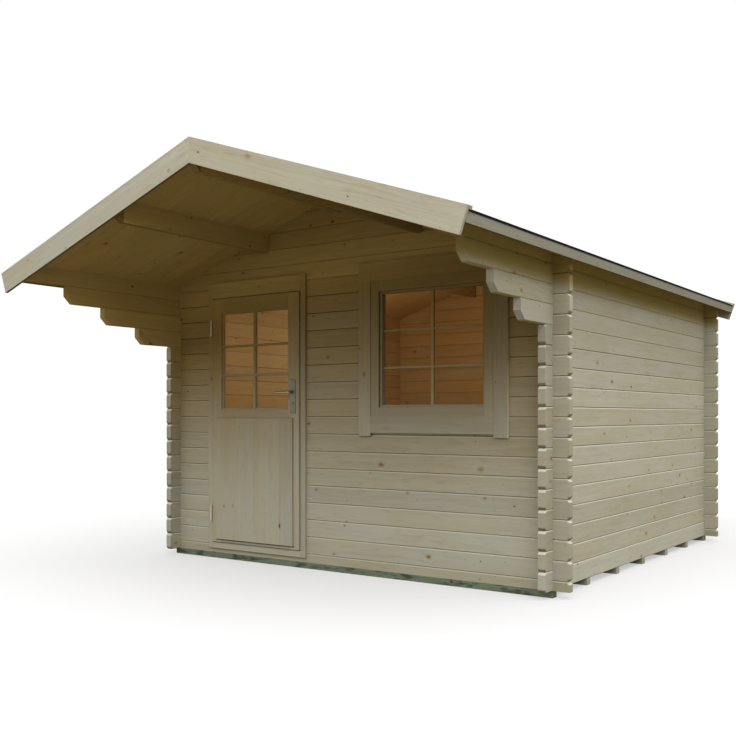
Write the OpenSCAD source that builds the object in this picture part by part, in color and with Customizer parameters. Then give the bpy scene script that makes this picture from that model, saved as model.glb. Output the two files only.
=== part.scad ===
// Garden house: a small cabin of planed logs that interlock at the corners,
// with a roof that reaches forward as a canopy over the door and the window.
// Millimetres, +Z up, front towards -Y, resting on its floor beams at Z = 0.

/* [Logs] */
// Height of one full log
log_h = 114; // [105:1:125]
// Thickness of the logs
log_t = 44; // [34:1:58]
// Length of each of the four walls, corner to corner
wall_l = 3000; // [2800:10:3600]
// How far the log ends pass the corners
log_end = 100; // [80:1:140]
// Bevel at the top and bottom of each log end
end_bevel = 15; // [8:1:22]
// Bevel along each seam between two logs
seam_bevel = 3.5; // [2:0.5:6]

/* [Floor] */
// Number of floor beams
beam_count = 7; // [5:1:9]
// Width of a floor beam
beam_w = 52; // [45:1:70]
// Height of a floor beam
beam_h = 41; // [38:1:60]
// Thickness of the floor boards
floor_t = 19; // [18:1:28]

/* [Roof] */
// Slope of the roof in degrees
pitch = 19; // [16:0.5:21]
// Reach of the canopy in front of the wall
canopy = 1323; // [1200:1:1400]
// Reach of the roof behind the rear wall
rear_reach = 120; // [120:1:180]
// Reach of the roof beyond each side wall
side_reach = 199; // [185:1:240]
// Thickness of the roof boards
roof_t = 19; // [18:1:24]
// Thickness of the roofing felt
felt_t = 3; // [2:0.5:5]
// Depth of the bargeboards, square to the slope
barge_d = 118; // [100:1:140]
// Thickness of the bargeboards and the eave boards
barge_t = 18; // [16:1:24]
// Depth of the left and the right eave board
eave_d = [31, 58]; // [25:1:90]
// Width of the cover laths on the bargeboards
lath_w = 46; // [40:1:60]
// Thickness of the cover laths
lath_t = 16; // [12:1:20]
// Depth of the three roof purlins
purlin_d = 131; // [115:1:145]
// Distance from the ridge to the middle of a side purlin
purlin_x = 622; // [560:1:680]
// Reach of the canopy's three bracket logs, from the lowest up
bracket_reach = [400, 702, 1000]; // [300:1:1150]
// Length and height of the bevel under a bracket log's end
bracket_bevel = [50, 48]; // [30:1:70]

/* [Door] */
// Distance from the middle of the house to the middle of the door
door_x = 705; // [690:1:760]
// Width of the door leaf
leaf_w = 800; // [760:1:840]
// Thickness of the door leaf
leaf_t = 35; // [35:1:40]
// Gap round the door leaf
leaf_gap = 6; // [6:0.5:7]
// Width of the leaf's uprights
stile_w = 92; // [90:1:105]
// Height of the glass in the leaf
door_glass_h = 684; // [600:1:700]
// Height of the lever handle above the foot of the walls
lever_z = 1134; // [1080:1:1180]

/* [Window] */
// Distance from the middle of the house to the middle of the window
window_x = 704; // [690:1:760]
// Width of the window sash
sash_w = 868; // [800:1:900]
// Width of the sash members
sash_m = 61; // [50:1:66]

/* [Trim] */
// Width of the upright casing boards round the window
casing_w = 92; // [80:1:100]
// Thickness of the casing boards
casing_t = 18; // [16:1:20]

/* [Hidden] */
$fn = 48;

PINE = "#cdbf9a";
PALE_PINE = "#d9d0b4";
DARK_PINE = "#b9a67c";
FELT = "#1c1c1e";
GLASS = [0.75, 0.85, 0.85, 0.35];
STEEL = "#b4b6ba";

// Walls. The front and rear walls start with half a log, so every corner
// crosses half a log out of step with the walls beside it.
half_w = wall_l / 2;
inner_x = half_w - log_t;
wall_courses = 13;
top_course = 16;
gable_course = 17;
last_course = 24;
lap = log_h / 4;
head_z = (top_course + 0.5) * log_h;

// Roof planes, as heights over the middle of the house. A hair gap keeps the
// pieces that lie on a slope from biting into each other.
seat = 0.1;
slope = tan(pitch);
wall_top = (top_course + 0.8) * log_h;
ridge_under = wall_top + slope * half_w;
roof_v = roof_t / cos(pitch);
felt_v = felt_t / cos(pitch);
lath_v = lath_t / cos(pitch);
front_y = -canopy;
rear_y = wall_l + rear_reach;
boards_y0 = front_y + barge_t;
boards_y1 = rear_y - barge_t;
lath_x = half_w + side_reach;
eave_x = lath_x - barge_t;
purlin_bevel = [45, 40];
fold_w = 24;
fold_t = 5;

// Door
leaf_x0 = -door_x - leaf_w / 2;
leaf_x1 = -door_x + leaf_w / 2;
leaf_y0 = -28;
leaf_y1 = leaf_y0 + leaf_t;
sill_z = 33;
sill_h = 41;
settle_gap = 30;
frame_head = 40;
frame_top = head_z - settle_gap;
sill_top = sill_z + sill_h;
jamb_z1 = frame_top - frame_head;
leaf_z0 = sill_top + leaf_gap;
leaf_z1 = jamb_z1 - leaf_gap;
jamb_x0 = leaf_x0 - leaf_gap;
jamb_x1 = leaf_x1 + leaf_gap;
jamb_w = 14;
stop_w = 19;
stop_y = leaf_y1 + 5;
door_hole_x0 = jamb_x0 - jamb_w;
door_hole_x1 = jamb_x1 + jamb_w;
inner_casing_w = 40;
door_casing_w = 41;
door_casing_h = 39;
head_rail = 101;
middle_rail = 102;
foot_rail = 92;
glass_z1 = leaf_z1 - head_rail;
glass_z0 = glass_z1 - door_glass_h;
glass_lip = 10;
door_glass_y = leaf_y0 + 18;
glass_t = 4;
panel_z0 = leaf_z0 + 23;
panel_z1 = glass_z0 - 60;
panel_lap = 43;
panel_proud = 12;
panel_t = 30;

// Hinges and handle
pivot_x = leaf_x0 - leaf_gap / 2;
pivot_y = leaf_y0 - 8;
knuckle_r = 7;
pin_r = 3.5;
pin_clear = 0.08;
knuckle_h = 57;
hinge_plate = 2;
hinge_z = [leaf_z0 + 148, leaf_z1 - 262];
hinge_in = 2;
handle_x = leaf_x1 - 50;
plate_w = 44;
plate_h = 230;
plate_t = 5;
plate_r = 8;
plate_z = lever_z - 29;
key_r = 5;
key_slot = [5, 14];
key_z = -42;
spindle_hole_r = 12;
lever_r = 9;
lever_tip_r = 8;
lever_l = 110;
lever_out = 44;

// Window
win_x0 = window_x - sash_w / 2;
win_x1 = window_x + sash_w / 2;
win_frame_w = 45;
win_frame_foot = 30;
win_frame_head = 23;
low_courses = 8;
low_top = (low_courses + 0.5) * log_h;
win_hole_x0 = win_x0 - win_frame_w;
win_hole_x1 = win_x1 + win_frame_w;
win_hole_z0 = low_top - 25;
win_z0 = win_hole_z0 + win_frame_foot;
win_z1 = frame_top - win_frame_head;
win_casing_head = 64;
win_casing_foot = 125;
win_casing_step = 20;
sash_y = -14;
bead_y = 2;
bead_w = 16;
pane_y = 30;
sash_top = 70;
sash_foot = 55;

// Heights at a distance x from the ridge: the logs and purlins that carry the
// roof, then the roof boards, the felt and the cover laths on them
function bearing(x) = ridge_under - slope * abs(x);
function boards_under(x) = bearing(x) + seat;
function boards_top(x) = boards_under(x) + roof_v;
function felt_under(x) = boards_top(x) + seat;
function felt_top(x) = felt_under(x) + felt_v;
function laths_top(x) = felt_top(x) + seat + lath_v;

// One edge of a stack of logs: straight faces with a bevel at every seam.
// The seams lie at from, from + log_h and so on; side is +1 or -1.
function stack_edge(at, side, cut, z0, n) = [
    for (k = [0:n - 1]) each [
        if (k == 0) [at - side * cut, z0],
        [at, z0 + k * log_h + cut],
        [at, z0 + (k + 1) * log_h - cut],
        [at - side * cut, z0 + (k + 1) * log_h]
    ]
];
function backwards(list) = [for (i = [len(list) - 1:-1:0]) list[i]];
function stack_outline(a, b, cut_a, cut_b, z0, n) =
    concat(stack_edge(b, 1, cut_b, z0, n), backwards(stack_edge(a, -1, cut_a, z0, n)));

// Puts the house on its beams, centred on its own plan
module place() {
    translate([0, -(front_y + rear_y) / 2, beam_h]) children();
}

// A block from one corner to the opposite one
module block(from, to) {
    translate(from) cube(to - from);
}

// An outline in X and Z, drawn out along Y
module along_y(y0, y1) {
    translate([0, y1, 0]) rotate([90, 0, 0]) linear_extrude(y1 - y0) children();
}

// An outline in Y and Z, drawn out along X
module along_x(x0, x1) {
    translate([x0, 0, 0]) rotate([90, 0, 90]) linear_extrude(x1 - x0) children();
}

// A flat ring in X and Z: outer rectangle less inner rectangle
module ring(y0, y1, outer0, outer1, inner0, inner1) {
    along_y(y0, y1) difference() {
        translate(outer0) square(outer1 - outer0);
        translate(inner0) square(inner1 - inner0);
    }
}

// Laps that a front or rear wall loses where it crosses the side walls:
// a quarter of a log above and below each of its seams.
module cross_laps(y, first, last) {
    for (side = [-1, 1], k = [first:last]) {
        x = side > 0 ? inner_x : -half_w;
        translate([x, y - 1, k * log_h + lap]) cube([log_t, log_t + 2, 2 * lap]);
    }
}

// Laps that a side wall loses where the front and rear walls cross it
module side_laps(first, last) {
    for (y = [0, wall_l - log_t], k = [first:last])
        translate([inner_x - 1, y, k * log_h - lap]) cube([log_t + 2, log_t, 2 * lap]);
}

// Stacked logs along X, n of them from height z0 up, with an end bevel where an end is free
module cross_logs(x0, x1, bevel0, bevel1, y, z0, n) {
    intersection() {
        along_y(y - 1, y + log_t + 1) polygon(stack_outline(x0, x1, bevel0, bevel1, z0, n));
        along_x(x0 - 1, x1 + 1) polygon(stack_outline(y, y + log_t, seam_bevel, seam_bevel, z0, n));
    }
}

// The half log that starts a front or rear wall
module half_log(y) {
    outer = half_w + log_end;
    top = log_h / 2;
    intersection() {
        along_y(y - 1, y + log_t + 1) polygon([
            [-outer, 0], [outer, 0], [outer, top - end_bevel], [outer - end_bevel, top],
            [end_bevel - outer, top], [-outer, top - end_bevel]]);
        along_x(-outer - 1, outer + 1) polygon([
            [y, 0], [y + log_t, 0], [y + log_t, top - seam_bevel], [y + log_t - seam_bevel, top],
            [y + seam_bevel, top], [y, top - seam_bevel]]);
    }
}

// Outline of a gable: level on its lowest seam, then up both slopes
module gable_outline(z0) {
    polygon([[-inner_x, z0], [inner_x, z0], [inner_x, bearing(inner_x)],
        [0, ridge_under], [-inner_x, bearing(inner_x)]]);
}

// Gable logs, cut to the slopes and notched for the purlins
module gable(y) {
    z0 = head_z;
    n = last_course - gable_course;
    difference() {
        intersection() {
            along_y(y - 1, y + log_t + 1) gable_outline(z0);
            along_x(-half_w, half_w)
                polygon(stack_outline(y, y + log_t, seam_bevel, seam_bevel, z0, n));
        }
        purlin_set(y - 2, y + log_t + 2);
    }
}

module floor_beams() {
    pitch_y = (wall_l - beam_w) / (beam_count - 1);
    color(DARK_PINE) place()
        for (i = [0:beam_count - 1])
            block([-half_w, i * pitch_y, -beam_h], [half_w, i * pitch_y + beam_w, 0]);
}

module floor_boards() {
    color(PALE_PINE) place()
        block([-inner_x, log_t, 0], [inner_x, wall_l - log_t, floor_t]);
}

// The thirteen lowest logs of a side wall, drawn on the right
module side_wall() {
    color(PINE) place() difference() {
        intersection() {
            along_x(inner_x - 1, half_w + 1) polygon(stack_outline(-log_end, wall_l + log_end,
                end_bevel, end_bevel, 0, wall_courses));
            along_y(-log_end - 1, wall_l + log_end + 1) polygon(stack_outline(inner_x, half_w,
                seam_bevel, seam_bevel, 0, wall_courses));
        }
        side_laps(0, wall_courses);
    }
}

// A side log that runs forward under the canopy, drawn on the right
module bracket_log(course, reach) {
    z0 = course * log_h;
    z1 = z0 + log_h;
    back = wall_l + log_end;
    color(PINE) place() difference() {
        intersection() {
            along_x(inner_x - 1, half_w + 1) polygon([
                [bracket_bevel[0] - reach, z0], [back - end_bevel, z0], [back, z0 + end_bevel],
                [back, z1 - end_bevel], [back - end_bevel, z1], [-reach, z1],
                [-reach, z0 + bracket_bevel[1]]]);
            along_y(-reach - 1, back + 1)
                polygon(stack_outline(inner_x, half_w, seam_bevel, seam_bevel, z0, 1));
        }
        side_laps(course, course + 1);
    }
}

// The highest side log, planed to the slope, from bargeboard to bargeboard
module top_log() {
    z0 = top_course * log_h;
    color(PINE) place() difference() {
        along_y(boards_y0, boards_y1) polygon([
            [inner_x + seam_bevel, z0], [half_w - seam_bevel, z0], [half_w, z0 + seam_bevel],
            [half_w, bearing(half_w)], [inner_x, bearing(inner_x)], [inner_x, z0 + seam_bevel]]);
        side_laps(top_course, top_course);
    }
}

module front_wall_base() {
    color(PINE) place() difference() {
        half_log(0);
        cross_laps(0, 0, 0);
        block([door_hole_x0, -1, sill_z], [door_hole_x1, log_t + 1, log_h]);
    }
}

module front_wall_left() {
    color(PINE) place() difference() {
        cross_logs(-half_w - log_end, door_hole_x0, end_bevel, 0, 0, log_h / 2, top_course);
        cross_laps(0, 0, top_course);
    }
}

module front_wall_low() {
    color(PINE) place() difference() {
        cross_logs(door_hole_x1, half_w + log_end, 0, end_bevel, 0, log_h / 2, low_courses);
        cross_laps(0, 0, low_courses);
        block([win_hole_x0, -1, win_hole_z0], [win_hole_x1, log_t + 1, low_top + 1]);
    }
}

module front_wall_between() {
    color(PINE) place()
        cross_logs(door_hole_x1, win_hole_x0, 0, 0, 0, low_top, top_course - low_courses);
}

module front_wall_right() {
    color(PINE) place() difference() {
        cross_logs(win_hole_x1, half_w + log_end, 0, end_bevel, 0, low_top,
            top_course - low_courses);
        cross_laps(0, low_courses, top_course);
    }
}

module front_gable() {
    color(PINE) place() gable(0);
}

module rear_wall() {
    y = wall_l - log_t;
    color(PINE) place() {
        difference() {
            union() {
                half_log(y);
                cross_logs(-half_w - log_end, half_w + log_end, end_bevel, end_bevel,
                    y, log_h / 2, top_course);
            }
            cross_laps(y, 0, top_course);
        }
        gable(y);
    }
}

// Outline of a purlin at x, planed to the slope on top, or to both slopes at the ridge
function purlin_foot(x) = bearing(abs(x) - log_t / 2) - purlin_d;
module purlin_outline(x) {
    left = x - log_t / 2;
    right = x + log_t / 2;
    ridge = left < 0 && right > 0 ? [[0, ridge_under]] : [];
    polygon(concat([[left, purlin_foot(x)], [right, purlin_foot(x)], [right, bearing(right)]],
        ridge, [[left, bearing(left)]]));
}

module purlin_set(y0, y1) {
    for (x = [-purlin_x, 0, purlin_x]) along_y(y0, y1) purlin_outline(x);
}

// A purlin from bargeboard to bargeboard, with its front corner taken off below
module purlin(x) {
    foot = purlin_foot(x);
    y0 = boards_y0;
    bevel_y = boards_y0 + purlin_bevel[0];
    bevel_z = foot + purlin_bevel[1];
    color(PINE) place() difference() {
        along_y(y0, boards_y1) purlin_outline(x);
        along_x(x - log_t, x + log_t) polygon([
            [y0 - 1, foot - 1], [bevel_y, foot - 1], [bevel_y, foot], [y0, bevel_z], [y0 - 1, bevel_z]]);
    }
}

// Roof boards of the right slope
module slope_boards() {
    x1 = eave_x - barge_t;
    color(PALE_PINE) place() along_y(boards_y0, boards_y1) polygon([
        [0, boards_under(0)], [x1, boards_under(x1)], [x1, boards_top(x1)], [0, boards_top(0)]]);
}

// Felt over both slopes, turned down over the eave boards and folded back
// double along the eaves between the cover laths
module roof_felt() {
    x1 = eave_x + felt_t;
    x0 = x1 - fold_w;
    color(FELT) place() for (side = [-1, 1]) {
        along_y(boards_y0, boards_y1) polygon([
            [0, felt_under(0)], [side * eave_x, felt_under(eave_x)],
            [side * eave_x, felt_top(eave_x)], [0, felt_top(0)]]);
        along_y(front_y + lath_w, rear_y - lath_w) polygon([
            [side * eave_x, felt_under(eave_x)], [side * eave_x, felt_under(eave_x) - fold_t],
            [side * x1, felt_under(x1) - fold_t], [side * x1, felt_top(x1) + felt_v],
            [side * x0, felt_top(x0) + felt_v], [side * x0, felt_top(x0)],
            [side * eave_x, felt_top(eave_x)]]);
    }
}

// Board along an eave, bevelled to the slope on top, drawn on the right
module eave_board(depth) {
    x0 = eave_x - barge_t;
    foot = boards_top(eave_x) - depth;
    color(PALE_PINE) place() along_y(boards_y0, boards_y1) polygon([
        [x0, foot], [eave_x, foot], [eave_x, boards_top(eave_x)], [x0, boards_top(x0)]]);
}

// A strip on the right slope between two heights, cut square at its lower end
module slope_strip(y0, y1, high, thick) {
    end = lath_x - (laths_top(0) - high) * cos(pitch) * sin(pitch);
    foot_x = end - thick * sin(pitch);
    v = thick / cos(pitch);
    along_y(y0, y1) polygon([
        [0, high - v], [foot_x, high - v - slope * foot_x], [end, high - slope * end], [0, high]]);
}

module bargeboard(y0) {
    color(PALE_PINE) place() slope_strip(y0, y0 + barge_t, felt_top(0), barge_d);
}

module cover_laths(y0) {
    color(PALE_PINE) place() {
        slope_strip(y0, y0 + lath_w, laths_top(0), lath_t);
        mirror([1, 0, 0]) slope_strip(y0, y0 + lath_w, laths_top(0), lath_t);
    }
}

// Door frame: jambs, head and sill, with the stops that the leaf closes towards
module door_frame() {
    color(PINE) place() difference() {
        block([door_hole_x0, 0, sill_z], [door_hole_x1, log_t, frame_top]);
        block([jamb_x0, -1, sill_top], [jamb_x1, stop_y, jamb_z1]);
        block([jamb_x0 + stop_w, -1, sill_top], [jamb_x1 - stop_w, log_t + 1, jamb_z1 - stop_w]);
    }
}

// Casing boards round the door, on the logs
module door_casing() {
    x0 = jamb_x0 - door_casing_w;
    x1 = jamb_x1 + door_casing_w;
    color(PALE_PINE) place() ring(-casing_t, 0,
        [x0, sill_z], [x1, head_z + door_casing_h],
        [jamb_x0, sill_top], [jamb_x1, jamb_z1]);
}

module window_casing() {
    x0 = win_x0 - casing_w;
    x1 = win_x1 + casing_w;
    foot = win_z0 - win_casing_foot;
    color(PALE_PINE) place() {
        for (x = [x0, win_x1])
            block([x, -casing_t, foot], [x + casing_w, 0, win_z1]);
        block([x0, -casing_t, win_z1], [x1, 0, head_z + win_casing_head]);
        block([win_x0, -casing_t, foot + win_casing_step], [win_x1, 0, win_z0]);
    }
}

// Flat casing boards on the inner faces of the logs
module inside_casings() {
    w = inner_casing_w;
    color(PALE_PINE) place() {
        ring(log_t, log_t + casing_t,
            [door_hole_x0 - w, floor_t], [door_hole_x1 + w, head_z + w],
            [jamb_x0 + stop_w, sill_top], [jamb_x1 - stop_w, jamb_z1 - stop_w]);
        ring(log_t, log_t + casing_t,
            [win_hole_x0 - w, win_hole_z0 - w], [win_hole_x1 + w, head_z + w],
            [win_x0, win_z0], [win_x1, win_z1]);
    }
}

// Door leaf: two uprights and three rails, glass above and a panel below
module door_leaf() {
    color(PALE_PINE) place() difference() {
        block([leaf_x0, leaf_y0, leaf_z0], [leaf_x1, leaf_y1, leaf_z1]);
        block([leaf_x0 + stile_w, leaf_y0 - 1, glass_z0], [leaf_x1 - stile_w, leaf_y1 + 1, glass_z1]);
        block([leaf_x0 + stile_w - glass_lip, door_glass_y, glass_z0 - glass_lip],
            [leaf_x1 - stile_w + glass_lip, leaf_y1 + 1, glass_z1 + glass_lip]);
        block([leaf_x0 + stile_w, leaf_y0 - 1, leaf_z0 + foot_rail],
            [leaf_x1 - stile_w, leaf_y1 + 1, glass_z0 - middle_rail]);
        translate([handle_x, leaf_y0 - 1, lever_z]) rotate([-90, 0, 0])
            cylinder(r = spindle_hole_r, h = leaf_t + 2);
    }
}

module door_panel() {
    color(PALE_PINE) place() {
        block([leaf_x0 + stile_w - panel_lap, leaf_y0 - panel_proud, panel_z0],
            [leaf_x1 - stile_w + panel_lap, leaf_y0, panel_z1]);
        block([leaf_x0 + stile_w, leaf_y0, leaf_z0 + foot_rail],
            [leaf_x1 - stile_w, leaf_y0 - panel_proud + panel_t, glass_z0 - middle_rail]);
    }
}

module door_glass() {
    lip = glass_lip;
    color(GLASS) place() block([leaf_x0 + stile_w - lip, door_glass_y, glass_z0 - lip],
        [leaf_x1 - stile_w + lip, door_glass_y + glass_t, glass_z1 + lip]);
}

// Plate outline with rounded corners, centred on the handle's upright line
module plate_outline() {
    x1 = plate_w / 2 - plate_r;
    z1 = plate_h / 2 - plate_r;
    difference() {
        union() {
            square([2 * x1, plate_h], center = true);
            square([plate_w, 2 * z1], center = true);
            for (x = [-x1, x1], z = [-z1, z1]) translate([x, z]) circle(plate_r);
        }
        translate([0, lever_z - plate_z]) circle(lever_r + pin_clear);
        translate([0, key_z]) circle(key_r);
        translate([-key_slot[0] / 2, key_z - key_slot[1]]) square(key_slot);
    }
}

module handle_plates() {
    color(STEEL) place() for (y = [leaf_y0 - plate_t, leaf_y1])
        translate([handle_x, 0, plate_z]) along_y(y, y + plate_t) plate_outline();
}

// One lever: a round bar with a ball at the elbow and a rounded tip
module lever_bar(y) {
    translate([0, y, 0]) {
        sphere(lever_r);
        rotate([0, -90, 0]) cylinder(r1 = lever_r, r2 = lever_tip_r, h = lever_l);
        translate([-lever_l, 0, 0]) sphere(lever_tip_r);
    }
}

module door_handle() {
    y0 = leaf_y0 - plate_t - lever_out;
    y1 = leaf_y1 + plate_t + lever_out;
    color(STEEL) place() translate([handle_x, 0, lever_z]) {
        translate([0, y0, 0]) rotate([-90, 0, 0]) cylinder(r = lever_r, h = y1 - y0);
        lever_bar(y0);
        lever_bar(y1);
    }
}

// Lower halves of the two lift-off hinges: knuckle, pin and the flag on the jamb
module frame_hinges() {
    color(STEEL) place() for (z = hinge_z) {
        translate([pivot_x, pivot_y, z]) {
            cylinder(r = knuckle_r, h = knuckle_h);
            cylinder(r = pin_r, h = 2 * knuckle_h - 4);
        }
        block([jamb_x0, pivot_y, z], [jamb_x0 + hinge_plate, leaf_y1 - hinge_in, z + knuckle_h]);
    }
}

// Upper halves: a sleeve over each pin and the flag on the leaf's edge
module leaf_hinges() {
    color(STEEL) place() for (z = hinge_z) {
        low = z + knuckle_h + 0.3;
        difference() {
            union() {
                translate([pivot_x, pivot_y, low]) cylinder(r = knuckle_r, h = knuckle_h);
                block([leaf_x0 - hinge_plate, pivot_y, low],
                    [leaf_x0, leaf_y1 - hinge_in, low + knuckle_h]);
            }
            translate([pivot_x, pivot_y, low - 1])
                cylinder(r = pin_r + pin_clear, h = knuckle_h - 3);
        }
    }
}

module window_frame() {
    color(PINE) place() ring(0, log_t,
        [win_hole_x0, win_hole_z0], [win_hole_x1, frame_top],
        [win_x0, win_z0], [win_x1, win_z1]);
}

// Sash with a step that holds the glass
module window_sash() {
    x0 = win_x0 + sash_m;
    x1 = win_x1 - sash_m;
    z0 = win_z0 + sash_foot;
    z1 = win_z1 - sash_top;
    step = [bead_w, bead_w];
    color(PALE_PINE) place() {
        ring(sash_y, bead_y, [win_x0, win_z0], [win_x1, win_z1], [x0, z0], [x1, z1]);
        ring(bead_y, pane_y, [win_x0, win_z0], [win_x1, win_z1], [x0, z0] + step, [x1, z1] - step);
        ring(pane_y, log_t, [win_x0, win_z0], [win_x1, win_z1], [x0, z0], [x1, z1]);
    }
}

module window_glass() {
    color(GLASS) place() block([win_x0 + sash_m, pane_y, win_z0 + sash_foot],
        [win_x1 - sash_m, pane_y + glass_t, win_z1 - sash_top]);
}

floor_beams();
floor_boards();  // floor
mirror([1, 0, 0]) side_wall();  // left_wall
mirror([1, 0, 0]) bracket_log(13, bracket_reach[0]);  // left_bracket_low
mirror([1, 0, 0]) bracket_log(14, bracket_reach[1]);  // left_bracket_middle
mirror([1, 0, 0]) bracket_log(15, bracket_reach[2]);  // left_bracket_high
mirror([1, 0, 0]) top_log();  // left_top_log
side_wall();  // right_wall
bracket_log(13, bracket_reach[0]);  // right_bracket_low
bracket_log(14, bracket_reach[1]);  // right_bracket_middle
bracket_log(15, bracket_reach[2]);  // right_bracket_high
top_log();  // right_top_log
front_wall_base();
front_wall_left();
front_wall_low();
front_wall_between();
front_wall_right();
front_gable();
rear_wall();
purlin(0);  // ridge_purlin
purlin(-purlin_x);  // left_purlin
purlin(purlin_x);  // right_purlin
mirror([1, 0, 0]) slope_boards();  // left_roof_boards
slope_boards();  // right_roof_boards
roof_felt();
mirror([1, 0, 0]) eave_board(eave_d[0]);  // left_eave_board
eave_board(eave_d[1]);  // right_eave_board
mirror([1, 0, 0]) bargeboard(front_y);  // front_left_bargeboard
bargeboard(front_y);  // front_right_bargeboard
mirror([1, 0, 0]) bargeboard(boards_y1);  // rear_left_bargeboard
bargeboard(boards_y1);  // rear_right_bargeboard
cover_laths(front_y);  // front_cover_laths
cover_laths(rear_y - lath_w);  // rear_cover_laths
door_frame();
door_casing();
inside_casings();
door_leaf();
door_panel();
door_glass();
handle_plates();
door_handle();
frame_hinges();
leaf_hinges();
window_frame();
window_sash();
window_glass();
window_casing();
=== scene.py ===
import math

import bmesh
import bpy
from bpy.props import FloatProperty, FloatVectorProperty, PointerProperty
from mathutils import Matrix, Vector


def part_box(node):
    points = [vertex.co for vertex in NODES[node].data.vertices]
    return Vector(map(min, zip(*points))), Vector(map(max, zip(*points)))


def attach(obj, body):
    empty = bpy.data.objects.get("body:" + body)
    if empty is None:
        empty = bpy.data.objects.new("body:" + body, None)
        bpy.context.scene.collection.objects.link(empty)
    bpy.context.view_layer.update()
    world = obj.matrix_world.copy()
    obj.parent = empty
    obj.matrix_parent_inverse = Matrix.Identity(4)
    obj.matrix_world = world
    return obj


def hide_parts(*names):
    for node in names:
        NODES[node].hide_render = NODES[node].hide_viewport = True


bl_info = {
    "name": "Garden house",
    "version": (1, 0, 0),
    "blender": (4, 5, 0),
    "location": "View3D > Sidebar > Garden house",
    "description": "Boards, glazing bars, ironmongery and finishes of a small log garden house",
    "category": "Object",
}

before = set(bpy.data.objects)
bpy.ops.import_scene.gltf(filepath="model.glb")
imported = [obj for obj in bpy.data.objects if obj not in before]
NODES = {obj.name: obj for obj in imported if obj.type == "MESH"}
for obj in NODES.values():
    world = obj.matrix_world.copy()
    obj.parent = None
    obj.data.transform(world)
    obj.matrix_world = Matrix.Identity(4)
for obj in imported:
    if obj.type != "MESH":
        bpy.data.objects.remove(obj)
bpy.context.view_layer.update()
INSIDE_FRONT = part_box("floor")[0].y
INSIDE_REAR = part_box("floor")[1].y
INSIDE_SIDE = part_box("floor")[1].x
OUTSIDE_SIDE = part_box("right_wall")[1].x
WALL_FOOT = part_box("right_wall")[0].z
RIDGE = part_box("right_roof_boards")[1].z
QUARTER_TURN = math.radians(90)
SHARP_ANGLE = math.radians(38)
SEAM_DEPTH = 0.0045  # the grooves at the seams are less deep than this
UNDERSIDE = 0.001  # what lies less high above a board's lowest edge is its underside
HALF_JOINT = 0.0004  # half of the gap between two boards
HAIR = 0.0002  # gap between a pane and its bars, and how far a nail's head is sunk
CLOSE = 1e-6  # what lies closer than this is in one place

# tints, which multiply the red, green and blue of a tone
WHITE = (1, 1, 1)
PALE_PINE = (1.01, 1.02, 1.06)
WARM_PINE = (0.97, 0.92, 0.83)
OCHRE_RIM = (0.78, 0.62, 0.36)
# painted cooler light in the canopy's shade, low on the front
COOL_SHADE = (1.02, 1.14, 1.75)
# painted shade along the eaves, low and high in its band
LOW_EAVE_SHADE = (1.50, 1.78, 2.10)
HIGH_EAVE_SHADE = (1.85, 2.18, 2.40)
# painted light of the room: its paler left and its warmer upper rear
ROOM_LEFT_LIGHT = (1.12, 1.23, 1.40)
ROOM_UPPER_LIGHT = (1.0, 0.90, 0.73)
# painted shadow near the front tip of a purlin
BOARD_TIP_SHADOW = (0.52, 0.47, 0.38)
# painted shadow line round the door panel
PANEL_SHADOW_LINE = (0.34, 0.25, 0.13)

# the stage
CAMERA_PLACE = (3.68066, -5.76916, 1.02039)
CAMERA_TURN = (math.radians(90), 0, math.radians(35.449))
CAMERA_LENS = 45.93
CAMERA_SHIFT = (0.00465, 0.0643)
FLOOR_REACH = 60
LAMPS = (  # name, kind, place, aim, size, power
    ("softbox", "AREA", (3.5, -4.5, 9.0), (0.4, -0.5, 0.9), 12.0, 1090),
    ("room", "POINT", (-0.25, 0.45, 1.50), (0, 0.4, 0), 0.3, 36),
)


# ------------------------------------------------------------------ settings

def length(name, description, default):
    return FloatProperty(name=name, description=description, default=default, min=0.001, max=5.0,
                         subtype="DISTANCE", unit="LENGTH", precision=4)


def colour(name, description, default):
    return FloatVectorProperty(name=name, description=description, default=default, size=3,
                               min=0.0, max=1.0, subtype="COLOR")


class HouseSizes(bpy.types.PropertyGroup):
    """Sizes of the boards, bars and fixings that are made here"""

    log_height: length("Log height", "Height of one full log", 0.114)
    roof_pitch: FloatProperty(name="Roof pitch", description="Slope of the roof",
                              default=math.radians(19), subtype="ANGLE", unit="ROTATION")
    roof_board: length("Roof board", "Face width of a roof board", 0.096)
    floor_board: length("Floor board", "Face width of a floor board", 0.097)
    panel_board: length("Panel board", "Width of the glued boards in the door panel", 0.117)
    board_groove: length("Board groove", "Chamfer along the edges of boards", 0.0012)
    bar_upright: length("Upright bar", "Width of the window's upright glazing bar", 0.020)
    bar_cross: length("Cross bar", "Width of the window's cross bars", 0.015)
    door_bar_upright: length("Door upright bar", "Width of the door's upright glazing bar", 0.019)
    door_bar_cross: length("Door cross bar", "Width of the door's cross bars", 0.016)
    bar_depth: length("Bar depth", "Depth of the glazing bars in front of the glass", 0.012)
    bead: length("Glazing bead", "Width of the beads that hold the glass", 0.010)
    felt_strip: length("Felt strip", "Width that each strip of roofing felt covers", 0.92)
    felt_lap: length("Felt lap", "Thickness of the felt where strips overlap", 0.003)
    nail_pitch: length("Nail spacing", "Distance between the felt nails", 0.12)
    nail_head: length("Nail head", "Radius of a felt nail's head", 0.005)
    lever_radius: length("Lever radius", "Radius of the lever handle's bar", 0.0085)
    screw_head: length("Screw head", "Radius of the screw heads", 0.0042)


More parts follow.
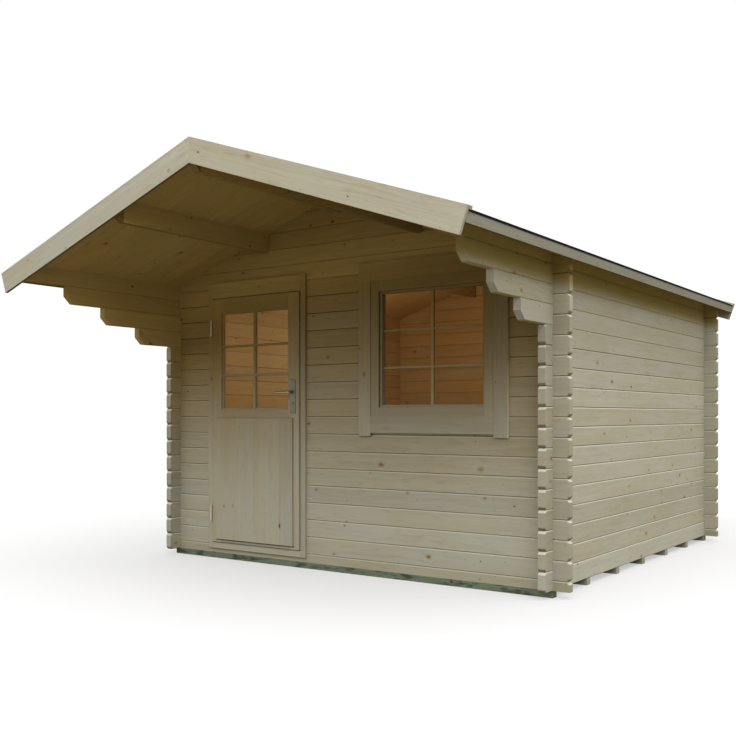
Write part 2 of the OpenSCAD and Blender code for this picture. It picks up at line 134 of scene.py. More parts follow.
class HouseColours(bpy.types.PropertyGroup):
    """Colours of the finishes; the pine under the canopy, under the roof and in the room carries
    painted light and shade, and the lit edge is a painted highlight
    """

    weathered: colour("Weathered pine", "Planed pine in the open", (0.458, 0.438, 0.340))
    # browner, unweathered pine under the canopy, darkened further with painted shade
    shaded_pine: colour("Sheltered pine", "Planed pine under the canopy", (0.248, 0.163, 0.047))
    # warm pine under the roof: partly its own warmth, partly painted shade
    roof: colour("Roof pine", "Boards, gables and purlins under the roof", (0.462, 0.333, 0.115))
    # untreated pine, its deep orange partly painted warm light of the room
    indoor: colour("Indoor pine", "Untreated pine inside the room", (0.372, 0.217, 0.072))
    knot: colour("Knot", "Heart of a knot", (0.060, 0.038, 0.018))
    treated: colour("Treated beam", "Pressure-treated floor beam", (0.172, 0.212, 0.146))
    felt: colour("Roofing felt", "Black bitumen felt", (0.008, 0.0075, 0.0065))
    steel: colour("Steel", "Satin steel of the fittings", (0.20, 0.185, 0.16))
    # painted highlight on the chamfer above each log seam
    edge: colour("Lit edge", "Chamfer that catches the light", (0.690, 0.685, 0.570))
    glass: colour("Glass", "Tint of the window glass", (0.02, 0.022, 0.02))


# ---------------------------------------------------------------- node wires

class Wire:
    """An output socket. Arithmetic on wires adds Math nodes to the finish."""

    def __init__(self, finish, socket):
        self.finish = finish
        self.socket = socket

    def maths(self, operation, *values):
        return self.finish.node("Math", {"operation": operation}, values)

    def other(self, name):
        return Wire(self.finish, self.socket.node.outputs[name])

    def __add__(self, value):
        return self.maths("ADD", self, value)

    def __radd__(self, value):
        return self.maths("ADD", value, self)

    def __sub__(self, value):
        return self.maths("SUBTRACT", self, value)

    def __rsub__(self, value):
        return self.maths("SUBTRACT", value, self)

    def __mul__(self, value):
        return self.maths("MULTIPLY", self, value)

    def __rmul__(self, value):
        return self.maths("MULTIPLY", value, self)

    def __truediv__(self, value):
        return self.maths("DIVIDE", self, value)

    def __rtruediv__(self, value):
        return self.maths("DIVIDE", value, self)

    def __pow__(self, value):
        return self.maths("POWER", self, value)

    def __mod__(self, value):
        return self.maths("FLOORED_MODULO", self, value)

    def __floordiv__(self, value):
        return self.maths("FLOOR", self / value)

    def __gt__(self, value):
        return self.maths("GREATER_THAN", self, value)

    def __lt__(self, value):
        return self.maths("LESS_THAN", self, value)

    def __abs__(self):
        return self.maths("ABSOLUTE", self)


class Finish:
    """A material, or the world, that is drawn up node by node"""

    def __init__(self, name, kind="materials", surface="Principled BSDF"):
        self.material = getattr(bpy.data, kind).new(name)
        self.material.use_nodes = True
        self.tree = self.material.node_tree
        self.surface = self.tree.nodes[surface]

    def node(self, kind, settings=None, inputs=(), out=0):
        """Adds a node: its settings first, then the values or wires of its inputs"""
        made = self.tree.nodes.new("ShaderNode" + kind)
        for key, value in (settings or {}).items():
            setattr(made, key, value)
        named = inputs.items() if isinstance(inputs, dict) else enumerate(inputs)
        for key, value in named:
            if isinstance(value, Wire):
                self.tree.links.new(value.socket, made.inputs[key])
            else:
                made.inputs[key].default_value = value
        return Wire(self, made.outputs[out])

    def position(self):
        return self.node("TexCoord", out="Object")

    def place(self, centre=(0, 0, 0), turn=(0, 0, 0)):
        """Object position in a frame with that centre and turn"""
        return self.node("Mapping", {"vector_type": "TEXTURE"},
                         {"Vector": self.position(), "Location": centre, "Rotation": turn})

    def split(self, vector):
        x = self.node("SeparateXYZ", inputs=[vector])
        return x, x.other("Y"), x.other("Z")

    def join(self, x, y, z):
        return self.node("CombineXYZ", inputs=[x, y, z])

    def noise(self, vector, scale=1.0, detail=2.0, rough=0.5):
        return self.node("TexNoise", inputs={"Vector": vector, "Scale": scale, "Detail": detail,
                                             "Roughness": rough}, out="Fac")

    def ramp(self, value, start, end, low=0.0, high=1.0):
        """Rises smoothly from low to high as the value goes from start to end"""
        return self.node("MapRange", {"interpolation_type": "SMOOTHSTEP"},
                         [value, start, end, low, high])

    def mix(self, share, first, second):
        first, second = ((*c, 1.0) if isinstance(c, tuple) and len(c) == 3 else c
                         for c in (first, second))
        return self.node("Mix", {"data_type": "RGBA"}, {0: share, 6: first, 7: second}, out=2)

    def shift(self, share, first, second):
        """Mixes two vectors"""
        return self.node("Mix", {"data_type": "VECTOR"}, {0: share, 4: first, 5: second}, out=1)

    def dim(self, tone, factor):
        return self.node("VectorMath", {"operation": "SCALE"}, {0: tone, "Scale": factor})

    def tint(self, tone, factors):
        return self.node("VectorMath", {"operation": "MULTIPLY"}, [tone, factors])

    def bump(self, height, distance, strength=1.0):
        return self.node("Bump", inputs={"Height": height, "Distance": distance,
                                         "Strength": strength})

    def coat(self, **sockets):
        """Wires or values for the surface's own sockets"""
        for name, value in sockets.items():
            socket = self.surface.inputs[name.replace("_", " ").title().replace("Ior", "IOR")]
            if isinstance(value, Wire):
                self.tree.links.new(value.socket, socket)
            else:
                socket.default_value = value
        return self.material


# --------------------------------------------------------------------- timber

def toned(tone, *factors):
    """A colour times one factor, or times one each for its red, green and blue"""
    return tuple(c * k for c, k in zip(tone, factors * 3 if len(factors) == 1 else factors))


def timber(finish, local, piece, pale, warm, knots=0.24, contrast=1.0, shading=None):
    """Solid pine: growth rings round a wandering heart, fibres, tone of each piece, and knots.

    The local frame has the grain along X, the thickness along Y and the width along Z; piece is a
    number that differs from one board or log to the next, and shading a factor on its brightness.
    """
    along, depth, width = finish.split(local)
    luck = finish.node("TexWhiteNoise", {"noise_dimensions": "1D"}, {"W": piece}, out="Color")
    first, second, third = finish.split(luck)
    start = along + first * 40

    spot_scale, speck_scale = 8.5, 24.0  # cells to the metre, with at most a knot in each
    spots = finish.node("TexVoronoi", {"voronoi_dimensions": "2D"},
                        {"Vector": finish.join(start * 0.65, width + second * 9, 0),
                         "Scale": spot_scale}, out="Distance")
    reach = spots / spot_scale
    pick, size, hue = finish.split(spots.other("Color"))
    radius = size * size * 0.007 + 0.0025
    is_knot = pick < knots
    swirl = is_knot * finish.ramp(reach, radius * 5, 0)
    heart = is_knot * finish.ramp(reach, radius * 1.15, radius * 0.75)
    rim = is_knot * finish.ramp(reach, radius * 2.6, radius)
    specks = finish.node("TexVoronoi", {"voronoi_dimensions": "2D"},
                         {"Vector": finish.join(start * 0.7, width + third * 7, 0),
                          "Scale": speck_scale}, out="Distance")
    pin, bead = finish.split(specks.other("Color"))[:2]
    pin = (pin < 0.09) * finish.ramp(specks / speck_scale, bead * 0.0016 + 0.0014, 0.0008)

    sway = finish.noise(finish.join(start * 0.8, second * 31, third * 17), 1, 1) - 0.5
    wander = finish.noise(finish.join(start * 1.6, depth * 11, width * 11), 1, 2) - 0.5
    off_width = width - (second - 0.5) * 0.17 - sway * 0.10
    off_depth = depth - (third - 0.5) * 0.11
    ring = (off_width * off_width + off_depth * off_depth) ** 0.5
    ring = (ring + wander * 0.016 + swirl * 0.007) / (0.0036 + third * 0.0022)
    late = (ring % 1) ** 3

    fibre = finish.noise(finish.join(start * 7, depth * 330, width * 330), 1, 2, 0.6)
    streak = finish.noise(finish.join(start * 1.1, depth * 42, width * 42), 1, 3, 0.6)
    fleck = finish.noise(finish.join(start * 8, depth * 70, width * 70), 1, 2)
    fleck = finish.ramp(fleck, 0.58, 0.72)
    cloud = finish.noise(finish.join(start * 1.7, depth * 3, width * 6), 1, 2)

    tone = finish.mix(finish.ramp(cloud, 0.38, 0.66) * 0.5 + first * 0.5, pale, warm)
    level = 1.02 - late * (0.12 * contrast) - (streak - 0.5) * (0.30 * contrast)
    level = level - (fibre - 0.5) * (0.16 * contrast) + (third - 0.5) * (0.2 * contrast)
    level = level - fleck * 0.05
    if shading is not None:
        level = level * shading
    tone = finish.dim(tone, level)
    tone = finish.mix(fleck * 0.35, tone, finish.dim(warm, 0.86))
    tone = finish.mix(rim * 0.5 + pin * 0.6, tone, finish.tint(warm, OCHRE_RIM))
    knot = tuple(bpy.context.scene.house_colours.knot)
    tone = finish.mix(pin * bead, tone, knot)
    tone = finish.mix(heart * (hue * hue * 0.8 + 0.2), tone, knot)
    height = fibre * 0.45 + late * -0.35 + heart * 0.5
    rough = 0.60 + fibre * 0.16 - heart * 0.2
    return tone, height, rough


def exposure(finish, position, reach, rise):
    """How a point stands to the sky, for the painted light and shade: its share of the painted
    shade under the canopy, its share high up, where that shade takes the roof's tone, its share of
    the painted cooler light low down and to the right, its height over the line of the roof, and
    its share indoors
    """
    x, y, z = position
    indoors = ((abs(x) < INSIDE_SIDE + SEAM_DEPTH) * (y > INSIDE_FRONT - SEAM_DEPTH)
               * (y < INSIDE_REAR + SEAM_DEPTH) * (z > WALL_FOOT))
    # share of the painted canopy shade, deeper from the height called rise upwards
    canopy = ((y < INSIDE_FRONT - SEAM_DEPTH) * (abs(x) < reach)
              * finish.ramp(z + x * 0.015, rise, 1.68))
    # share high up, where the painted canopy shade takes the roof's warmer tone
    high = finish.ramp(z - x * 0.16, 1.70, 2.20)
    # share of the painted cooler light low on the front, towards the right
    cool_light = finish.ramp(x, -1.1, -0.2) * finish.ramp(z, 1.92, 1.60)
    slope = math.tan(bpy.context.scene.house_sizes.roof_pitch)
    return canopy, high, cool_light, z + abs(x) * slope - RIDGE, indoors


def room_light(finish, position):
    """Shares of a point in the painted light and shade of the room: its paler left, its darker
    right and its warmer upper rear, and how much of its tone is left where the lamp lights a wall
    most, which is painted shade that evens out the lamp's light
    """
    x, y, z = position
    left = finish.ramp(x, -0.9, -1.4) * finish.ramp(z, 0.7, 1.5) * finish.ramp(y, 1.4, 0.6)
    right = finish.ramp(x, -0.2, 1.2)
    upper = finish.ramp(z, 1.45, 1.90) * finish.ramp(y, 0.7, 1.3)
    # painted shade on the left and the rear wall, where the lamp lights them most
    left_wall = (x < 0.02 - INSIDE_SIDE) * finish.ramp(y, -0.45, 0.10) * finish.ramp(y, 1.5, 0.7)
    rear_wall = (y > INSIDE_REAR - 0.02) * finish.ramp(x, -1.30, -0.95)
    return left, right, upper, 1 - left_wall * 0.24 - rear_wall * 0.13


def pine_tones(finish, shade="shaded_pine", reach=INSIDE_SIDE + 0.002, rise=0.24):
    """The paler and the warmer tone of the pine at a point, its openness to the sky, and its
    share indoors.

    Shade names the tone of the painted shade under the canopy, which shelters whatever is within
    reach of the middle and grows deeper from the height called rise; with no shade, the piece
    stands in the open. The tones also carry painted shade along the eaves with painted light just
    below it, and the painted light and shade of the room.
    """
    colours = bpy.context.scene.house_colours
    if not shade:
        return (toned(colours.weathered, *PALE_PINE), toned(colours.weathered, *WARM_PINE),
                1.0, 0.0)
    position = finish.split(finish.position())
    canopy, high, cool_light, below_roof, indoors = exposure(finish, position, reach, rise)
    left, right, upper, glow = room_light(finish, position)
    # painted shadow of the eaves: a band below the line of the roof, and within it a brighter,
    # warmer painted shade near the roof
    eave = finish.ramp(below_roof, -0.262, -0.165)
    upper_eave_shade = finish.ramp(below_roof, -0.16, -0.07)
    # painted light: the open pine brighter just below the eaves' painted shadow
    painted_light_below_eave = finish.ramp(below_roof, -0.40, -0.27)
    tones = []
    for lift in (PALE_PINE, WARM_PINE):
        open_air, shaded_pine, shaded, roof, room = (
            toned(tone, *lift) for tone in (colours.weathered, colours.shaded_pine,
                                            getattr(colours, shade), colours.roof, colours.indoor))
        # painted cooler light makes the shade paler and bluer low on the front
        if shade == "shaded_pine":
            shaded = finish.mix(cool_light, shaded, toned(shaded, *COOL_SHADE))
        # painted canopy shade, which takes the roof's tone high up
        painted_canopy_shade = finish.mix(high, shaded, roof)
        painted_eave_shade = finish.mix(upper_eave_shade, toned(shaded_pine, *LOW_EAVE_SHADE),
                                toned(shaded_pine, *HIGH_EAVE_SHADE))
        # painted light just below the eaves' painted shadow
        open_air = finish.mix(painted_light_below_eave, open_air, toned(open_air, 1.2))
        tone = finish.mix(canopy, finish.mix(eave, open_air, painted_eave_shade), painted_canopy_shade)
        # painted light and shade of the room: paler on the left, darker on the right, warmer in the
        # upper rear, and darker where the lamp lights a wall most
        room = finish.mix(right, finish.mix(left, room, toned(room, *ROOM_LEFT_LIGHT)),
                          toned(room, 0.78))
        room = finish.tint(room, finish.mix(upper, WHITE, ROOM_UPPER_LIGHT))
        tones.append(finish.mix(indoors, tone, finish.dim(room, glow)))
    return *tones, (1 - canopy) * (1 - indoors) * (1 - eave), indoors


def surface_of(finish, tone, height, rough, relief=0.0006):
    return finish.coat(base_color=tone, roughness=rough, specular_ior_level=0.0,
                       normal=finish.bump(height, relief, 0.7))


def log_finish(name, turn, seam, number, ends=None, shadow=(0.40, 0.35, 0.22), level=1.0,
               **shelter):
    """Planed logs in a stack: each has its own timber, with painted shade in the groove below it
    and a painted highlight on the chamfer above.

    Seam is the height of a seam, and turn is nought for the logs that run along X. Ends are the low
    and the high end of the stack along its grain, where the painted shade and highlight grow and
    the protruding ends are painted darker. Shadow is the tint of the painted shade in the grooves,
    and level a factor on the brightness, which paints shade where it is below 1. Shelter goes on to
    pine_tones.
    """
    finish = Finish(name)
    log_height = bpy.context.scene.house_sizes.log_height
    x, y, z = finish.split(finish.place((0, 0, seam), (0, 0, turn)))
    course = z // log_height
    within = z - (course + 0.5) * log_height
    rear_half = (y > 0) * 61
    pale, warm, light, indoors = pine_tones(finish, **shelter)
    below, above = within + log_height / 2, log_height / 2 - within
    # painted shade in the groove below each seam, half as deep indoors
    groove = finish.ramp(below, 0.0060, 0.0015) * (1 - indoors * 0.5)
    # painted highlight on the chamfer above each seam, stronger low on the side walls
    painted_highlight = finish.ramp(above, 0.0085, 0.0055)
    painted_highlight = painted_highlight * (finish.ramp(z, 1.45, 1.00, 0.08, 0.75) if turn else 0.5)
    # painted light: the lowest logs of the side walls up to 8% brighter
    level = level + finish.ramp(z, 0.60, 0.05) * (0.08 if turn else 0.0)
    if ends:
        inward = (ends[1] - ends[0]) / 2 - abs(x - (ends[0] + ends[1]) / 2)
        end = inward < 0.012
        # at the ends: deeper painted shade under each log, a brighter painted highlight above it,
        # and the protruding ends painted darker
        groove = groove + end * finish.ramp(below, 0.024, 0.012, 0, 0.6)
        painted_highlight = painted_highlight + end * finish.ramp(above, 0.018, 0.012, 0, 0.8)
        level = level - (inward < 0.102) * 0.13
    tone, height, rough = timber(finish, finish.join(x, y, within),
                                 course * 1.37 + rear_half + number, pale, warm,
                                 contrast=0.62, shading=level)
    tone = finish.tint(tone, finish.mix(groove, WHITE, shadow))
    # the painted highlight shows only where the pine is open to the sky
    lit = painted_highlight * light * (above > 0.0008)
    tone = finish.mix(lit, tone, tuple(bpy.context.scene.house_colours.edge))
    return surface_of(finish, tone, height, rough)


def board_finish(name, turn, centre, number, strip=None, knots=0.2, tint=1.0, foot=None,
                 under=(0.65, 0.65, 0.65), tip=None, contrast=1.0, shade="shaded_pine"):
    """Planed boards that run one way; with a strip width, each strip is its own board.

    Tint is the brightness. Under paints shade on the underside, below the height called foot, and
    the low end gets a painted shadow up to tip, both in the board's own frame.
    """
    finish = Finish(name)
    x, y, z = finish.split(finish.place(centre, turn))
    piece = number
    if strip:
        lane = z // strip
        piece = lane * 1.71 + number
        z = z - (lane + 0.5) * strip
    pale, warm = pine_tones(finish, shade)[:2]
    tone, height, rough = timber(finish, finish.join(x, y, z), piece, pale, warm, knots, contrast)
    tone = finish.dim(tone, tint)
    # painted shade on the underside
    if foot is not None:
        tone = finish.tint(tone, finish.mix(z < foot, WHITE, under))
    # painted shadow near the low end
    if tip is not None:
        tone = finish.tint(tone, finish.mix(x < tip, WHITE, BOARD_TIP_SHADOW))
    return surface_of(finish, tone, height, rough)


def joined_finish(name, centre, half, number, top=None, tint=WHITE, panel=None, rise=0.42,
                  rim=None):
    """Joinery with uprights outside the half width and rails between them.

    The uprights end at top, and what lies further right than rim gets painted light. A panel's low
    and high corner give the painted shadow line round a panel that is set on the front, thicker
    below it.
    """
    finish = Finish(name)
    x, y, z = finish.split(finish.place(centre))
    upright = abs(x) > half
    if top is not None:
        upright = upright * (z < top)
    side = upright * ((x > 0) * 3 + 11) + (1 - upright) * (z > 0) * 5
    local = finish.shift(upright, finish.join(x, y, z), finish.join(z, y, x))
    pale, warm = pine_tones(finish, rise=rise)[:2]
    joint = finish.ramp(abs(abs(x) - half), 0.0008, 0.0016, 0.72, 1)
    # painted light on the side face that lies further right than rim
    if rim:
        joint = joint * (1 + (x > rim) * 0.7)
    tone, height, rough = timber(finish, local, side + number, pale, warm, 0.16, shading=joint)
    if panel:
        middle = (panel[0] + panel[1]) / 2 - centre
        wide, tall = (panel[1].x - panel[0].x) / 2, (panel[1].z - panel[0].z) / 2
        off_x, off_z = abs(x - middle.x) - wide, abs(z - middle.z) - tall
        off = off_x.maths("MAXIMUM", off_x, off_z)
        # painted shadow round the proud panel, thicker below it, on the front only
        width = (z < middle.z - tall) * 0.009 + 0.003
        line = finish.ramp(off, width, width * 0.4) * (y < 0)
        tone = finish.tint(tone, finish.mix(line, WHITE, PANEL_SHADOW_LINE))
    return surface_of(finish, finish.tint(tone, tint), height, rough)


def treated_finish():
    """Floor beams: the front one mottled with green preservative, the others weathered pine"""
    finish = Finish("floor_beam")
    colours = bpy.context.scene.house_colours
    x, y, z = finish.split(finish.place())
    beam = (y + 5) // 0.25
    blotch = finish.noise(finish.join(x * 7, y * 9, z * 26), 1, 4, 0.65)
    green = finish.mix(finish.ramp(blotch, 0.36, 0.54), toned(colours.treated, 0.42),
                       tuple(colours.treated))
    front = y < INSIDE_FRONT + 0.1
    weathered = toned(colours.weathered, 0.86)
    pale = finish.mix(front, weathered, green)
    warm = finish.mix(front, toned(weathered, 0.8), green)
    tone, height, rough = timber(finish, finish.join(x, y, z), beam + 3, pale, warm, 0.2)
    return surface_of(finish, tone, height, rough, 0.001)


def felt_finish():
    """Bitumen felt with fine mineral grains and a little dust in long runs"""
    finish = Finish("roofing_felt")
    felt = tuple(bpy.context.scene.house_colours.felt)
    position = finish.position()
    grain = finish.noise(position, 900, 2, 0.7)
    x, y, z = finish.split(position)
    dust = finish.noise(finish.join(x * 1.2, y * 3, z), 1, 4, 0.6)
    pale = tuple(c * 5 + 0.014 for c in felt)
    share = finish.ramp(grain, 0.45, 0.75) * 0.45 + finish.ramp(dust, 0.45, 0.8) * 0.22
    share = share * (abs(x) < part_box("roof_felt")[1].x - 0.02)
    return finish.coat(base_color=finish.mix(share, felt, pale), roughness=0.80 + grain * 0.15,
                       specular_ior_level=0.04, normal=finish.bump(grain, 0.0008))


def glass_finish():
    """Clear panes: see-through face on, brighter at a low angle"""
    finish = Finish("window_glass")
    facing = finish.node("LayerWeight", inputs={"Blend": 0.5}, out="Facing")
    position = finish.position()
    ripple = finish.noise(position, 2.2, 1)
    return finish.coat(base_color=(*bpy.context.scene.house_colours.glass, 1.0), roughness=0.03,
                       specular_ior_level=0.3, alpha=0.03 + facing ** 4 * 0.5,
                       normal=finish.bump(ripple, 0.002, 0.15))


def steel_finish(name="satin_steel", lift=(0.87, 0.84, 0.79), rough=0.34, levels=(1.0, 1.0)):
    """Satin steel with fine brush marks and faint handling marks.

    Lift is a factor on its colour, and levels are two on its brightness, low down and high up,
    which paint light and shade by height.
    """
    finish = Finish(name)
    steel = toned(bpy.context.scene.house_colours.steel, *lift)
    x, y, z = finish.split(finish.position())
    brush = finish.noise(finish.join(x * 2600, y * 2600, z * 60), 1, 2, 0.6)
    smudge = finish.noise(finish.join(x, y, z), 26, 3, 0.6)
    tone = finish.mix(brush * 0.5 + smudge * 0.4, toned(steel, 0.78), steel)
    # painted light and shade: the brightness goes from one level low down to the other high up
    tone = finish.dim(tone, finish.ramp(z, 0.5, 1.5, *levels))
    return finish.coat(base_color=tone, metallic=1.0,
                       roughness=rough + brush * 0.10 + smudge * 0.12,
                       normal=finish.bump(brush, 0.00005))


def slot_shade_finish():
    """Painted shade: a dark block that stands for the shaded inside of a keyhole or a screw slot"""
    finish = Finish("dark_slot")
    speck = finish.noise(finish.position(), 600, 2)
    return finish.coat(base_color=finish.mix(speck, (0.006, 0.006, 0.006), (0.02, 0.019, 0.018)),
                       roughness=0.7 + speck * 0.2)


def paint(material, *names):
    """Gives CAD nodes a finish"""
    for name in names:
        if name not in NODES:
            raise RuntimeError(f"there is no node {name}")
        mesh = NODES[name].data
        mesh.materials.clear()
        mesh.materials.append(material)


def paint_board(name, turn, number, **look):
    """Gives a CAD node the finish of boards that run one way"""
    low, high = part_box(name)
    paint(board_finish(f"{name}_pine", turn, (low + high) / 2, number, **look), name)


# --------------------------------------------------------------------- shapes

def ease(bm, geom, offset, segments=1, affect="EDGES"):
    """Bevels edges, or corners where affect is VERTICES"""
    return bmesh.ops.bevel(bm, geom=geom, offset=offset, offset_type="OFFSET", segments=segments,
                           profile=0.5, affect=affect, material=-1)


def block(bm, low, high, chamfer=0.0, edges_along=None):
    """A board from its low to its high corner with eased edges; edges_along picks one axis"""
    low, high = Vector(low), Vector(high)
    verts = bmesh.ops.create_cube(bm, size=1.0)["verts"]
    bmesh.ops.scale(bm, vec=high - low, verts=verts)
    bmesh.ops.translate(bm, vec=(low + high) / 2, verts=verts)
    if chamfer:
        edges = {e for v in verts for e in v.link_edges}
        if edges_along is not None:
            edges = {e for e in edges
                     if abs((e.verts[1].co - e.verts[0].co)[edges_along]) > CLOSE}
        made = ease(bm, list(edges), chamfer)
        verts = list({v for f in made["faces"] for v in f.verts}
                     | {v for v in verts if v.is_valid})
    return verts


def sheet_along_y(bm, centre, width, height):
    """A flat rectangle that looks along Y; gives its corners"""
    verts = bmesh.ops.create_grid(bm, x_segments=1, y_segments=1, size=0.5)["verts"]
    bmesh.ops.rotate(bm, verts=verts, matrix=Matrix.Rotation(QUARTER_TURN, 3, "X"))
    bmesh.ops.scale(bm, vec=(width, 1, height), verts=verts)
    bmesh.ops.translate(bm, vec=centre, verts=verts)
    return verts


def thicken(bm, faces, depth):
    """Extrudes faces along Y; gives the corners that moved"""
    grown = bmesh.ops.extrude_face_region(bm, geom=faces)["geom"]
    moved = [g for g in grown if isinstance(g, bmesh.types.BMVert)]
    bmesh.ops.translate(bm, vec=(0, depth, 0), verts=moved)
    return moved


def beads(name, low, high, width, material, body):
    """Four mitred beads round an opening, from its wall inwards; high.y is the side on the glass"""
    low, high = Vector(low), Vector(high)
    bm = bmesh.new()
    middle = ((low.x + high.x) / 2, high.y, (low.z + high.z) / 2)
    face = sheet_along_y(bm, middle, high.x - low.x, high.z - low.z)[0].link_faces[0]
    rim = bmesh.ops.inset_region(bm, faces=[face], thickness=width, use_boundary=True,
                                 use_even_offset=True)["faces"]
    bmesh.ops.delete(bm, geom=[face], context="FACES_ONLY")
    front = thicken(bm, rim, low.y - high.y)
    inner = [e for e in {e for v in front for e in v.link_edges}
             if all(abs(v.co.y - low.y) < CLOSE for v in e.verts)
             and all(low.x + width / 2 < v.co.x < high.x - width / 2 for v in e.verts)
             and all(low.z + width / 2 < v.co.z < high.z - width / 2 for v in e.verts)]
    ease(bm, inner, 0.004, segments=3)
    set_down(bm, name, material, body)


def pull(bm, ring, move, size=1.0):
    """Draws a ring of edges out by a move, and grows or narrows its end"""
    made = bmesh.ops.extrude_edge_only(bm, edges=ring)["geom"]
    verts = [g for g in made if isinstance(g, bmesh.types.BMVert)]
    bmesh.ops.translate(bm, vec=move, verts=verts)
    middle = sum((v.co for v in verts), Vector()) / len(verts)
    bmesh.ops.scale(bm, vec=(size, size, size), verts=verts, space=Matrix.Translation(-middle))
    return [g for g in made if isinstance(g, bmesh.types.BMEdge)
            and all(v in verts for v in g.verts)]


def ring_along_y(bm, centre, radius, segments, filled=False):
    """A ring, open or filled, that looks along Y; gives its edges"""
    verts = bmesh.ops.create_circle(bm, cap_ends=filled, segments=segments, radius=radius)["verts"]
    bmesh.ops.rotate(bm, verts=verts, matrix=Matrix.Rotation(QUARTER_TURN, 3, "X"))
    bmesh.ops.translate(bm, vec=centre, verts=verts)
    return list({e for v in verts for e in v.link_edges})


def head_along_y(bm, centre, radius, height, segments, crown):
    """A low round head on a face that looks along Y.

    Height is signed, and crown is the size of the top against the foot.
    """
    ring = ring_along_y(bm, centre, radius, segments, filled=True)
    ring = pull(bm, ring, (0, height * 0.5, 0))
    ring = pull(bm, ring, (0, height * 0.5, 0), crown)
    bmesh.ops.contextual_create(bm, geom=ring)


def block_along_y(bm, centre, half_width, height, below, above, chamfer=0.0):
    """A small block on a face that looks along Y; height is signed"""
    x, face, z = centre
    block(bm, (x - half_width, min(face, face + height), z - below),
          (x + half_width, max(face, face + height), z + above), chamfer)


def rounded_plate(bm, centre, size, back, front):
    """A plate with rounded corners and an eased front edge"""
    corners = sheet_along_y(bm, (centre.x, back, centre.z), size.x, size.z)
    ease(bm, corners, 0.009, segments=5, affect="VERTICES")
    face = next(f for f in bm.faces if f.is_valid and len(f.verts) > 8
                and abs(f.calc_center_median().y - back) < CLOSE)
    moved = thicken(bm, [face], front - back)
    rim = [e for e in {e for v in moved for e in v.link_edges}
           if all(v in moved for v in e.verts)]
    ease(bm, rim, 0.0015, segments=2)


def lever(bm, root, end, radius, bend=0.016):
    """The bar of a lever: out from its root, round a bend, and to the left to its rounded end"""
    out = 1 if end.y > root.y else -1
    neck = abs(end.y - root.y) - radius - bend
    edges = pull(bm, ring_along_y(bm, root, radius, 20), (0, out * neck, 0))
    corner = (root.x - bend, root.y + out * neck, root.z)
    turned = bmesh.ops.spin(bm, geom=edges, cent=corner, axis=(0, 0, 1),
                            angle=out * QUARTER_TURN, steps=8, use_merge=False)
    edges = [g for g in turned["geom_last"] if isinstance(g, bmesh.types.BMEdge)]
    straight = corner[0] - end.x - radius
    for size in (0.96, 0.97):
        edges = pull(bm, edges, (-straight * 0.5, 0, 0), size)
    for share, size in ((0.5, 0.87), (0.34, 0.62), (0.12, 0.3)):
        edges = pull(bm, edges, (-radius * share, 0, 0), size)


def onto_slope(side, pitch, ridge):
    """Matrix that lays flat work, drawn from the ridge outwards, on one slope of the roof"""
    return Matrix(((side, 0, 0, 0), (0, 1, 0, 0), (-math.tan(pitch), 0, 1, ridge), (0, 0, 0, 1)))


def set_out(name, data):
    """Puts a new object in the scene"""
    thing = bpy.data.objects.new(name, data)
    bpy.context.scene.collection.objects.link(thing)
    return thing


def set_down(bm, name, material, body, smooth=False, replaces=()):
    """Makes a finished piece of a bmesh, and lets it ride on a body"""
    bmesh.ops.recalc_face_normals(bm, faces=bm.faces)
    if not bm.faces:
        raise RuntimeError(f"{name} has no faces")
    mesh = bpy.data.meshes.new(name)
    bm.to_mesh(mesh)
    bm.free()
    mesh.materials.append(material)
    piece = set_out(name, mesh)
    if smooth:
        for polygon in mesh.polygons:
            polygon.use_smooth = True
        mesh.set_sharp_from_angle(angle=SHARP_ANGLE)
    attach(piece, body)
    if replaces:
        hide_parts(*replaces)


# ------------------------------------------------------------------ operators

class HOUSE_OT_logs(bpy.types.Operator):
    """Finishes the interlocking logs of the walls, the brackets, the gables and the purlins"""

    bl_idname = "house.logs"
    bl_label = "Logs"

    def execute(self, context):
        # the left brackets get the painted canopy shade up to their outer face, the right ones on
        # their inner face only
        for number, side, reach in ((20, "left", OUTSIDE_SIDE - 0.002),
                                    (60, "right", INSIDE_SIDE + 0.002)):
            ends = [corner.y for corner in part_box(f"{side}_wall")]
            paint(log_finish(f"{side}_logs", QUARTER_TURN, WALL_FOOT, number, ends, shade="roof"),
                  f"{side}_wall")
            # the brackets get fainter, warmer painted shade in their grooves, and are all painted
            # 7% darker
            paint(log_finish(f"{side}_brackets", QUARTER_TURN, WALL_FOOT, number,
                             shadow=(0.86, 0.80, 0.52), level=0.93, shade="roof", reach=reach),
                  f"{side}_bracket_low", f"{side}_bracket_middle", f"{side}_bracket_high",
                  f"{side}_top_log")
        half = WALL_FOOT + context.scene.house_sizes.log_height / 2
        ends = [corner.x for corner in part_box("front_wall_base")]
        paint(log_finish("front_logs", 0, half, 100, ends), "front_wall_base", "front_wall_left",
              "front_wall_low", "front_wall_between", "front_wall_right")
        # the gable is painted 11% darker, with fainter painted shade in its grooves
        paint(log_finish("gable_logs", 0, half, 120, shadow=(0.80, 0.76, 0.66), level=0.89,
                         shade="roof"), "front_gable")
        paint(log_finish("rear_logs", 0, half, 140, ends), "rear_wall")
        # painted light on the ridge and the left purlin, painted shade on the right one, on their
        # undersides and near their front tips
        for number, name, tint in ((180, "ridge_purlin", 1.09), (181, "left_purlin", 1.09),
                                   (182, "right_purlin", 0.85)):
            low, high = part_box(name)
            paint_board(name, (0, 0, QUARTER_TURN), number, tint=tint, shade="roof",
                        foot=(low.z - high.z) / 2 + UNDERSIDE, tip=(low.y - high.y) / 2 + 0.05)
        return {"FINISHED"}


